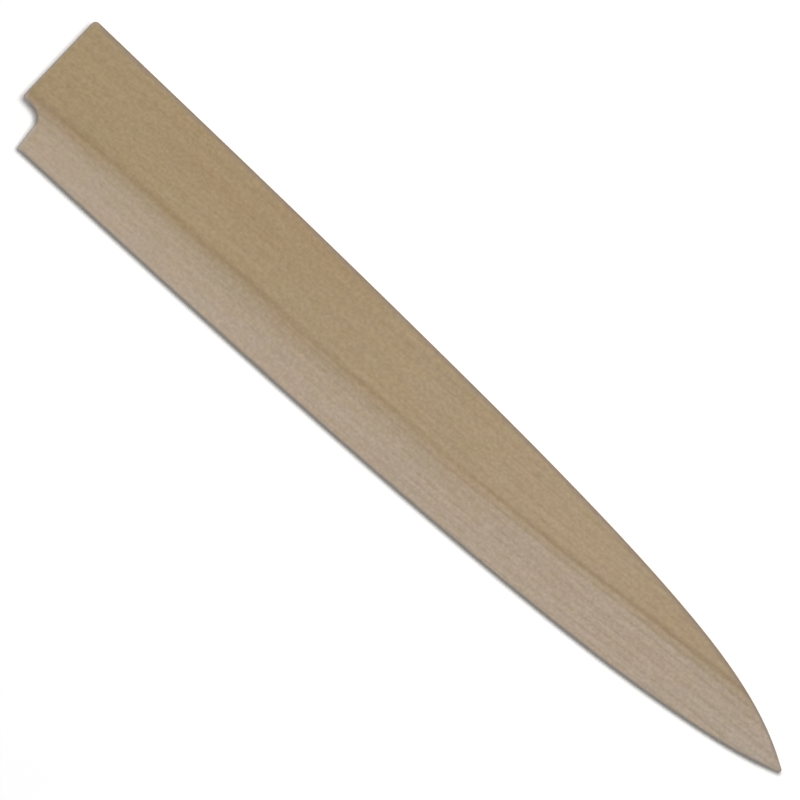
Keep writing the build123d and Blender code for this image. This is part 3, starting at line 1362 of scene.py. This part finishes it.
class WoodPainter:
    """Works out one board's wood from where a point lies on it."""

    def __init__(self, finish: BareWood, effects: Effects, bench: Bench) -> None:
        """Finds where a point lies and what the shared effects show there.

        Args:
            finish: Tones and measures of the wood.
            effects: The shared effects.
            bench: Bench of the material.
        """
        self.finish, self.effects, self.bench = finish, effects, bench
        self.place = bench.place()
        turn = (0.0, math.radians(finish.grain_dip), -math.radians(finish.grain_tilt))
        grain_place = bench.out("ShaderNodeMapping", {"Vector": self.place, "Rotation": turn})
        normal = bench.out("ShaderNodeTexCoord", {}, "Normal")
        self.x = bench.split(self.place)[0]
        self.ridge = bench.attribute("past_ridge")
        self.carved = bench.attribute("carved")
        self.upright = abs(bench.split(normal)[2])
        self.level = self.upright.spread(*finish.level)
        self.outside = self.level * (1.0 - self.carved)
        self.below = self._line_middle() - self.ridge
        self.past_mouth = self._past_mouth()
        self.on_bevel = self._bevel_share() * self.level
        broad, small = finish.patch_sizes
        self.grain = {
            **bench.effect(effects.grain, place=grain_place, pith=finish.pith,
                           ring_width=finish.ring_width, ring_wander=finish.ring_wander,
                           fibre_width=finish.fibre_width),
            **bench.effect(effects.patches, place=grain_place, broad_size=broad,
                           small_size=small),
            **bench.effect(effects.ends, place=grain_place, normal=normal),
        }
        self.vessels = self.grain["Vessels"] * self.grain["Cross Cut"]
        self.lines = self._faint_lines()
        self.rim_shade_and_wear = self._rim_shade_and_wear_mask()

    def _line_middle(self) -> Value:
        """Middle of the dark line, in millimetres past the ridge, with a slow wander and a dip
        towards the notch.

        Returns:
            The line's place.
        """
        finish = self.finish
        slow = self.bench.noise(self.place, size=finish.line_wander_size, shift=(4.9, 0.2, 0.8))
        middle = self.x.spread(*finish.line_middle) - self.x.spread(*finish.line_dip_at_notch)
        return middle + (slow - NOISE_MIDDLE) * finish.line_wander

    def _past_mouth(self) -> Value:
        """Share of the way past the mouth, which the notch moves in on the bevel's side."""
        moved = self.x - self.ridge.spread(*self.finish.notch_run)
        return moved.spread(*self.finish.mouth_stretch)

    def _bevel_share(self) -> Value:
        """How much of the bevel's tone, paler wood with a painted sheen, has come in, from 0 at the
        ridge line to 1.

        A first share comes in over a short fade, and the rest evenly down to the bevel's reach.
        The first share is smallest in the middle of the length, and comes in sooner by the notch.

        Returns:
            The share.
        """
        finish, x = self.finish, self.x
        first = x.spread(*finish.bevel_first_by_mouth) + x.spread(*finish.bevel_first_by_tip)
        near = (self.below + x.spread(*finish.bevel_sooner)) / x.spread(*finish.bevel_fade)
        near = near.spread(finish.bevel_start, 1.0, soft=False)
        far = self.below.spread(0.0, finish.bevel_reach, soft=False)
        return far + first * (near - far)

    def _ridge_line(self) -> Value:
        """Dark line along the ridge, fainter in the middle of the length. Towards the mouth it
        is a softer band, moved up a little, with a thin line in it.

        Returns:
            The mask.
        """
        finish, below = self.finish, self.below
        softer = self.x.spread(*finish.soft_line)
        moved = below + softer * finish.soft_line_lift
        line = (abs(moved) / self.x.spread(*finish.line_width)).spread(0.0, 1.0, 1.0, 0.0)
        line = line * (1.0 - softer * finish.soft_line_loss)
        line = line + softer * abs(below).spread(*finish.thin_line)
        faint = 1.0 - self.x.band(*finish.faint_stretch) * finish.faint_loss
        return line * faint * finish.ridge_line_strength * self.outside

    def _faint_lines(self) -> Value:
        """Faint lines beside the ridge line, weaker on the flat and towards the mouth. The first
        one below it is the clearest.

        Returns:
            The mask.
        """
        finish, below = self.finish, self.below
        lines = self.bench.effect(self.effects.lines, along=self.x, past_line=below)["Lines"]
        side = below.spread(*finish.side_lines) * below.spread(*finish.second_line)
        clear = abs(below).spread(*finish.clear_of_line)
        strength = side * clear * self.x.spread(*finish.lines_along)
        return lines * strength * finish.ridge_line_strength * self.outside

    def _rim_shade_and_wear_mask(self) -> Value:
        """Painted shade and handling wear on the rims, which reach in by another distance at the
        mouth.

        Returns:
            The mask.
        """
        finish = self.finish
        at_mouth, further_in = (self.ridge.spread(*finish.ridge_sides, *reach)
                                for reach in (finish.mouth_rim_reach, finish.rim_reach))
        reach = at_mouth + self.past_mouth * (further_in - at_mouth)
        return self.bench.effect(self.effects.rim_shade_and_wear, place=self.place, reach=reach,
                                 from_rim=self.bench.attribute("from_rim"))["Shade And Wear"]

    def _shaded(self, colour: Value, layers: Sequence[tuple[Value, Colour]]) -> Value:
        """Colour with shades laid over it, each under its mask.

        Args:
            colour: What the shades go over.
            layers: Mask and shade of each layer.

        Returns:
            The shaded colour.
        """
        for mask, shade in layers:
            colour = self.bench.mix(Blend.SHADE, mask, colour, shade)
        return colour

    def _planed_colour(self) -> Value:
        """Tone of the wood before its grain shows: the flat, the bevel with its painted sheen, and
        the pocket.

        Returns:
            The colour.
        """
        finish, bench, x = self.finish, self.bench, self.x
        along = x.spread(*finish.length, soft=False)
        flat = bench.mix(Blend.MIX, along, finish.mouth_tone, finish.tip_tone)
        # Painted sheen: the bevel's tones are paler than the flat's
        bevel = bench.mix(Blend.MIX, along, finish.bevel_mouth_tone_with_sheen, finish.bevel_tip_tone_with_sheen)
        colour = bench.mix(Blend.MIX, self.on_bevel, flat, bevel)
        near_spine = x.band(*finish.spine_along) * self.ridge.spread(*finish.spine_across)
        tip_flat = x.spread(*finish.tip_flat_along) * (1.0 - self.on_bevel)
        crest = x.band(*finish.crest_along) * self.ridge.band(*finish.crest_across)
        colour = self._shaded(colour, (
            (near_spine, finish.spine_shade),
            (x.spread(*finish.tip_along), finish.tip_shade),
            (tip_flat, finish.tip_flat_shade),
            (crest, finish.crest_shade),
        ))
        return bench.mix(Blend.MIX, self.carved, colour, finish.carved_tone)

    def _grained_colour(self) -> Value:
        """Wood with its grain, the lines by the ridge and its end grain.

        Returns:
            The colour.
        """
        finish, grain = self.finish, self.grain
        loss = self.on_bevel * self.x.spread(*finish.bevel_fleck_loss)
        at_notch = self.below.band(*finish.notch_across) * self.x.spread(*finish.notch_along)
        return self._shaded(self._planed_colour(), (
            (grain["Streaks"], finish.streak_shade),
            (grain["Rings"], finish.ring_shade),
            (grain["Fibres"], finish.fibre_shade),
            (grain["Flecks"] * (finish.fleck_strength - loss), finish.fleck_shade),
            (self.lines, finish.line_shade),
            (grain["Pores"] * finish.pore_strength, finish.pore_shade),
            (grain["Broad"], finish.warm_patch),
            (grain["Small"], finish.yellow_patch),
            (self._ridge_line(), finish.ridge_shade),
            (at_notch * self.outside, finish.notch_shade),
            (grain["Cross Cut"], finish.end_shade),
            (self.vessels * finish.vessel_strength, finish.pore_shade),
        ))

    def _rim_shaded_colour(self) -> Value:
        """Wood with its rims: painted shade on them, partly handling wear, and a painted paler tone
        at the mouth. Where the spine side is steep, the rim is left as it is.

        Returns:
            The colour.
        """
        finish, bench = self.finish, self.bench
        spine_side = self.ridge.spread(*finish.ridge_sides)
        # Painted shade on the rims, partly wear, and painted paler tones at the mouth
        rim_tone, mouth_tone = (bench.mix(Blend.MIX, spine_side, *tones)
                                for tones in (finish.rim_tones, finish.mouth_rim_tones))
        tone = bench.mix(Blend.MIX, self.past_mouth, mouth_tone, rim_tone)
        spared_steep_spine = spine_side * self.upright.spread(*finish.spared_steep_spine, soft=False)
        rim_shaded = self.rim_shade_and_wear * (1.0 - spared_steep_spine) * self.x.spread(*finish.rim_at_tip)
        return bench.mix(Blend.MIX, rim_shaded * finish.rim_strength, self._grained_colour(), tone)

    def _relief(self) -> Value:
        """Height of the surface in millimetres: fibres, pores, rings, lines and tool marks.

        Returns:
            The height.
        """
        finish, grain = self.finish, self.grain
        marks = []
        for (pitch, wander, height), where in ((finish.planing, 1.0 - self.carved),
                                               (finish.carving, self.carved)):
            ripples = self.bench.effect(self.effects.tools, place=self.place, pitch=pitch,
                                        wander=wander)
            marks.append(ripples["Height"] * height * where)
        relief = grain["Fibres"] * finish.fibre_height - grain["Pores"] * finish.pore_depth
        relief = relief - grain["Rings"] * finish.ring_depth
        relief = relief - self.vessels * finish.vessel_depth - self.lines * finish.line_depth
        return relief + (marks[0] + marks[1])

    def paint(self) -> None:
        """Gives the material its colour, roughness and relief."""
        finish = self.finish
        start, end = (finish.roughness + more for more in finish.fibre_roughness)
        rough = self.grain["Fibres"].spread(0.0, 1.0, start, end, soft=False)
        rough = rough - self.rim_shade_and_wear * finish.wear_polish + self.carved * finish.carved_roughness
        self.bench.surface(self._rim_shaded_colour(), rough, self._relief(), MM,
                           finish.relief_strength, finish.specular)


@dataclass(frozen=True)
class DriedGlue:
    """Dried wood glue in a thin film."""

    name: str
    tone: Colour
    dusty_tone: Colour
    patch_sizes: Pair = (5.0, 0.8)
    roughness: Pair = (0.34, 0.58)
    relief: float = 0.02
    relief_strength: float = 0.5

    def material(self, effects: Effects) -> bpy.types.Material:
        """Makes the material.

        Args:
            effects: The shared effects.

        Returns:
            The material.
        """
        material = bpy.data.materials.new(self.name)
        bench = emptied(material)
        broad, small = self.patch_sizes
        patches = bench.effect(effects.patches, place=bench.place(), broad_size=broad,
                               small_size=small)
        colour = bench.mix(Blend.MIX, patches["Broad"], self.tone, self.dusty_tone)
        rough = patches["Small"].spread(0.0, 1.0, *self.roughness)
        bench.surface(colour, rough, patches["Small"], self.relief * MM, self.relief_strength)
        return material


# ----------------------------------------
# Pieces
# ----------------------------------------


def linked(name: str, data: bpy.types.ID) -> bpy.types.Object:
    """Puts a new object into the scene, at the origin.

    Args:
        name: Name of the object.
        data: Its mesh, lamp or camera.

    Returns:
        The object.
    """
    thing = bpy.data.objects.new(name, data)
    bpy.context.scene.collection.objects.link(thing)
    return thing


def seat(mesh: bpy.types.Mesh, name: str, node: str,
         material: bpy.types.Material) -> bpy.types.Object:
    """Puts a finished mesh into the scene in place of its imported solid.

    Args:
        mesh: The piece's mesh, in place.
        name: Name of the piece.
        node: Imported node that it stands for.
        material: Its material.

    Returns:
        The piece's object.
    """
    mesh.materials.append(material)
    piece = linked(name, mesh)
    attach(piece, "root")
    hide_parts(node)
    return piece


def upright_wall(line: Array, low: Places, high: Places) -> tuple[Array, Array]:
    """Plan and heights of a wall that stands over a line, from its foot to its top."""
    heights = [np.broadcast_to(height, len(line)) for height in (low, high)]
    return np.repeat(line[:, None], 2, axis=1), np.stack(heights, axis=1)


@dataclass(frozen=True)
class Piece:
    """One piece of the sheath."""

    plan: SheathPlan
    finish: Union[BareWood, DriedGlue]
    name: str
    node: str
    slot: str

    @property
    def form(self) -> SheathForm:
        """Sizes of the sheath."""
        return self.plan.form

    def skin(self) -> Skin:
        """All faces of the piece, outwards."""
        raise NotImplementedError

    def measure(self, mesh: bpy.types.Mesh) -> None:
        """Puts on the mesh what its finish reads from it. Glue reads nothing."""

    def build(self, effects: Effects) -> bpy.types.Object:
        """Builds, dresses and seats the piece.

        Args:
            effects: The shared effects.

        Returns:
            The piece's object.
        """
        mesh = skin_mesh(self.name, self.skin(), CREASE)
        self.measure(mesh)
        return seat(mesh, self.name, self.node, self.finish.material(effects))


@dataclass(frozen=True)
class Board(Piece):
    """One board: which way its outer face looks, and the rules for its two faces' heights."""

    upward: int
    outer: HeightRule
    inner: HeightRule
    rim_steps: int = 5

    @property
    def seam(self) -> float:
        """Height of the board's glued rim. The front board's lies on the glue."""
        return self.form.glue_top_z if self.upward > 0 else self.form.seam_z

    def height(self, rule: HeightRule, plan: Array) -> Array:
        """Height that a rule gives at each place of a plan."""
        return rule(self.form, plan[..., 0], plan[..., 1])

    def rim_round(self) -> tuple[Array, Array]:
        """Round rim between the outer face and the side.

        It is a conic through three places: where the round leaves the outer face, the sharp
        corner, and where it joins the side. With the corner weighing half the root of two, the
        conic is a quarter circle on a square rim.

        Returns:
            The plan and the heights, round the outline and down the rim.
        """
        outline, inset = self.plan.outline, self.plan.inset
        corner_z = self.height(self.outer, outline)
        heights = (self.height(self.outer, inset), corner_z,
                   corner_z - self.upward * self.form.rim_round)
        step = np.linspace(0, 1, self.rim_steps + 1)
        weights = np.stack([(1 - step) ** 2, math.sqrt(2) * step * (1 - step), step**2])
        weights /= weights.sum(axis=0)
        plan = np.einsum("ps,pkc->ksc", weights, np.stack([inset, outline, outline]))
        z = np.einsum("ps,pk->ks", weights, np.stack(heights))
        plan[:, 0], plan[:, -1] = inset, outline
        z[:, 0], z[:, -1] = heights[0], heights[2]
        return plan, z

    def side_foot(self, rim_foot: Array) -> Array:
        """Height down to which the side is made in one piece with the round rim.

        Across the pocket that is the pocket's face. Along the glued rim it changes evenly, as a
        share of the way from the seam to the round rim, between what the pocket's face is at the
        rim's two ends.

        Args:
            rim_foot: Height of the round rim's foot, round the outline.

        Returns:
            The height at each point of the outline.
        """
        plan, rim = self.plan, self.plan.rim_number
        foot = np.zeros(len(plan.outline))
        slot_z = self.height(self.inner, plan.outline[plan.slot_number])
        ends = (slot_z[[0, -1]] - self.seam) / (rim_foot[rim[[0, -1]]] - self.seam)
        shares = np.interp(np.arange(len(rim)), [0, len(rim) - 1], ends)
        foot[rim] = self.seam + shares * (rim_foot[rim] - self.seam)
        foot[plan.slot_number] = slot_z
        return foot

    def skin(self) -> Skin:
        """All faces of the board.

        Returns:
            A closed skin with its faces outwards.
        """
        plan, rim = self.plan, self.plan.rim_number
        down = self.upward < 0
        skin = Skin()
        skin.add(plan.face, self.height(self.outer, plan.face), down)
        rim_plan, rim_z = self.rim_round()
        foot = self.side_foot(rim_z[:, -1])
        around = np.arange(len(foot) + 1) % len(foot)
        side_plan = np.concatenate([rim_plan, plan.outline[:, None]], axis=1)
        side_z = np.concatenate([rim_z, foot[:, None]], axis=1)
        skin.add(side_plan[around], side_z[around], not down)
        skin.add(*upright_wall(plan.outline[rim], foot[rim], self.seam), not down)
        skin.add(plan.glued_rim, self.seam, down)
        wall_z = self.height(self.inner, plan.pocket_wall)
        skin.add(*upright_wall(plan.pocket_wall, self.seam, wall_z), not down, Cut.CARVED)
        skin.add(plan.pocket, self.height(self.inner, plan.pocket), not down, Cut.CARVED)
        return skin

    def measure(self, mesh: bpy.types.Mesh) -> None:
        """Puts on the mesh how far each point lies past the ridge and from the outer rim.

        Args:
            mesh: The board's mesh.
        """
        places = mesh_places(mesh)
        coarse = self.plan.outline[::2]
        in_plan = distance_to_loop(places[:, :2], coarse)
        from_rim = np.hypot(in_plan, self.height(self.outer, places) - places[:, 2])
        add_point_values(mesh, "past_ridge", places[:, 1] - self.form.ridge_y_at(places[:, 0]))
        add_point_values(mesh, "from_rim", from_rim)


@dataclass(frozen=True)
class FrontBoard(Board):
    """Thicker board, with the flat, the ridge and the bevel, and the pocket carved into it."""

    name: str = "front_board_planed"
    node: str = "front_board"
    slot: str = "front_wood"
    upward: int = 1
    outer: HeightRule = SheathForm.front_height
    inner: HeightRule = SheathForm.ceiling_height


@dataclass(frozen=True)
class BackBoard(Board):
    """Thin board, flat outside, with a shallow relief for the blade's flat side."""

    name: str = "back_board_planed"
    node: str = "back_board"
    slot: str = "back_wood"
    upward: int = -1
    outer: HeightRule = SheathForm.back_height
    inner: HeightRule = SheathForm.floor_height


@dataclass(frozen=True)
class GlueFilm(Piece):
    """Film of glue on the rim, between the boards."""

    name: str = "glue_film"
    node: str = "glue_line"
    slot: str = "glue"

    def skin(self) -> Skin:
        """Both faces of the film, and its sides.

        Returns:
            A closed skin with its faces outwards.
        """
        plan, bottom, top = self.plan, self.form.seam_z, self.form.glue_top_z
        skin = Skin()
        skin.add(plan.glued_rim, top, True)
        skin.add(plan.glued_rim, bottom, False)
        skin.add(*upright_wall(plan.outline[plan.rim_number], bottom, top), False)
        skin.add(*upright_wall(plan.pocket_wall, bottom, top), True)
        return skin


# ----------------------------------------
# Studio
# ----------------------------------------


@dataclass(frozen=True)
class Studio:
    """Floor, light and camera, in metres and degrees."""

    floor_side: float = 4.0
    floor_gap: float = 0.00005
    floor_tone: float = 0.96
    floor_glow: float = 0.12
    surround: float = 0.2
    key_share: float = 0.8
    key_distance: float = 1.5
    key_side: float = 0.24
    key_elevation: float = 83.4
    key_azimuth: float = 103.0
    lens: float = 400.0
    sensor: float = 36.0
    view_width: float = 0.2358
    view_turn: float = 43.5
    view_depth: float = 10.0
    aim: Triple = (-0.00738, 0.00219, 0.010)

    def _seen_direct(self, bench: Bench) -> Value:
        """Rays that show the background: from the camera, or by way of gloss or glass.

        Args:
            bench: Bench of the floor's or the surround's tree.

        Returns:
            1 for such a ray and 0 for others.
        """
        path = bench.node("ShaderNodeLightPath", {})
        camera, glossy, through = (Value(bench, path.outputs[f"Is {kind} Ray"])
                                   for kind in ("Camera", "Glossy", "Transmission"))
        return bench.calc(Sum.MORE_OF, bench.calc(Sum.MORE_OF, camera, glossy), through)

    def build_floor(self) -> bpy.types.Object:
        """Plain pale floor that keeps the shadow and is white in the open.

        Returns:
            The floor's object.
        """
        half = self.floor_side / 2
        mesh = bpy.data.meshes.new("floor")
        corners = [(-half, -half), (half, -half), (half, half), (-half, half)]
        mesh.from_pydata([(x, y, -self.floor_gap) for x, y in corners], [], [(0, 1, 2, 3)])
        material = bpy.data.materials.new("pale floor")
        bench = emptied(material)
        matt = bench.out("ShaderNodeBsdfDiffuse", {"Color": (self.floor_tone,) * 3})
        glow = bench.out("ShaderNodeEmission",
                         {"Strength": self._seen_direct(bench) * self.floor_glow})
        both = bench.out("ShaderNodeAddShader", {0: matt, 1: glow})
        bench.node("ShaderNodeOutputMaterial", {"Surface": both})
        mesh.materials.append(material)
        floor = linked("floor", mesh)
        return floor

    def light(self) -> None:
        """White surround and one large soft lamp on the spine side.

        Together they give a level face pi times one: a share from the surround and the rest from
        the lamp, so a colour renders about as it is written. A lamp's watts are that light times
        pi times the square of its distance, divided by the sine of its elevation.
        """
        world = bpy.data.worlds.new("studio")
        bpy.context.scene.world = world
        bench = emptied(world)
        strength = self._seen_direct(bench).spread(0.0, 1.0, self.surround, 1.0, soft=False)
        back = bench.out("ShaderNodeBackground", {"Strength": strength})
        bench.node("ShaderNodeOutputWorld", {"Surface": back})
        elevation, azimuth = math.radians(self.key_elevation), math.radians(self.key_azimuth)
        lamp = bpy.data.lights.new("key lamp", "AREA")
        lamp.shape = "SQUARE"
        lamp.size = self.key_side
        lamp.energy = (math.pi**2 * self.key_share * self.key_distance**2 / math.sin(elevation))
        key = linked("key lamp", lamp)
        flat = math.cos(elevation) * self.key_distance
        key.location = (flat * math.cos(azimuth), flat * math.sin(azimuth),
                        math.sin(elevation) * self.key_distance)
        key.rotation_euler = (math.pi / 2 - elevation, 0.0, azimuth + math.pi / 2)

    def place_camera(self) -> bpy.types.Object:
        """Long lens straight above, turned so that the sheath lies across the picture.

        Its height over the aim is the view's width times the lens, divided by the sensor.

        Returns:
            The camera's object.
        """
        lens = bpy.data.cameras.new("camera")
        lens.type = "PERSP"
        lens.lens = self.lens
        lens.sensor_width = self.sensor
        lens.clip_end = self.view_depth
        camera = linked("camera", lens)
        x, y, z = self.aim
        camera.location = (x, y, z + self.view_width * self.lens / self.sensor)
        camera.rotation_euler = (0.0, 0.0, math.radians(self.view_turn))
        bpy.context.scene.camera = camera
        return camera


@dataclass
class Sheath:
    """The whole sheath: two boards and the glue between them."""

    plan: SheathPlan
    effects: Effects
    pieces: list[bpy.types.Object] = field(default_factory=list)

    def build(self) -> None:
        """Builds every piece and reports it."""
        front_finish = BareWood(
            "planed magnolia front",
            mouth_tone=seen_colour(171, 150, 115),
            tip_tone=seen_colour(180, 159, 132),
            # Bevel tones: paler planed wood with a painted sheen
            bevel_mouth_tone_with_sheen=seen_colour(194, 177, 159),
            bevel_tip_tone_with_sheen=seen_colour(192, 175, 159),
            carved_tone=seen_colour(190, 173, 145),
        )
        back_finish = BareWood(
            "planed magnolia back",
            mouth_tone=seen_colour(172, 153, 121),
            tip_tone=seen_colour(177, 158, 131),
            bevel_mouth_tone_with_sheen=seen_colour(173, 154, 124),
            bevel_tip_tone_with_sheen=seen_colour(178, 159, 133),
            carved_tone=seen_colour(190, 173, 145),
            ridge_line_strength=0.0,
        )
        glue = DriedGlue("dried glue", seen_colour(120, 98, 66), seen_colour(141, 120, 88))
        parts = (
            FrontBoard(self.plan, front_finish),
            BackBoard(self.plan, back_finish),
            GlueFilm(self.plan, glue),
        )
        for part in parts:
            piece = part.build(self.effects)
            self.pieces.append(piece)
            log.info("%s: %d points, %d faces", piece.name, len(piece.data.vertices),
                     len(piece.data.polygons))


def seated_form() -> SheathForm:
    """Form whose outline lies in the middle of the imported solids' box.

    Returns:
        The form, moved by the difference between the middles of the two boxes.
    """
    low, high = (np.array(corner)[:2] / MM for corner in cad_box)
    outline = SheathPlan(SheathForm(mouth_x=0.0, spine_y=0.0)).outline
    shift = (low + high - outline.min(axis=0) - outline.max(axis=0)) / 2
    return SheathForm(mouth_x=float(shift[0]), spine_y=float(shift[1]))


def main() -> None:
    """Builds the studio and the sheath in the frame's box."""
    logging.basicConfig(level=logging.INFO, format="%(name)s: %(message)s")
    bpy.context.scene.view_settings.view_transform = "Standard"
    form = seated_form()
    studio = Studio()
    studio.build_floor()
    studio.light()
    studio.place_camera()
    effects = Effects(straight_grain(), tone_patches(), tool_marks(), ridge_lines(),
                      shaded_worn_rim(), end_grain())
    Sheath(SheathPlan(form), effects).build()


if __name__ == "__main__":
    main()
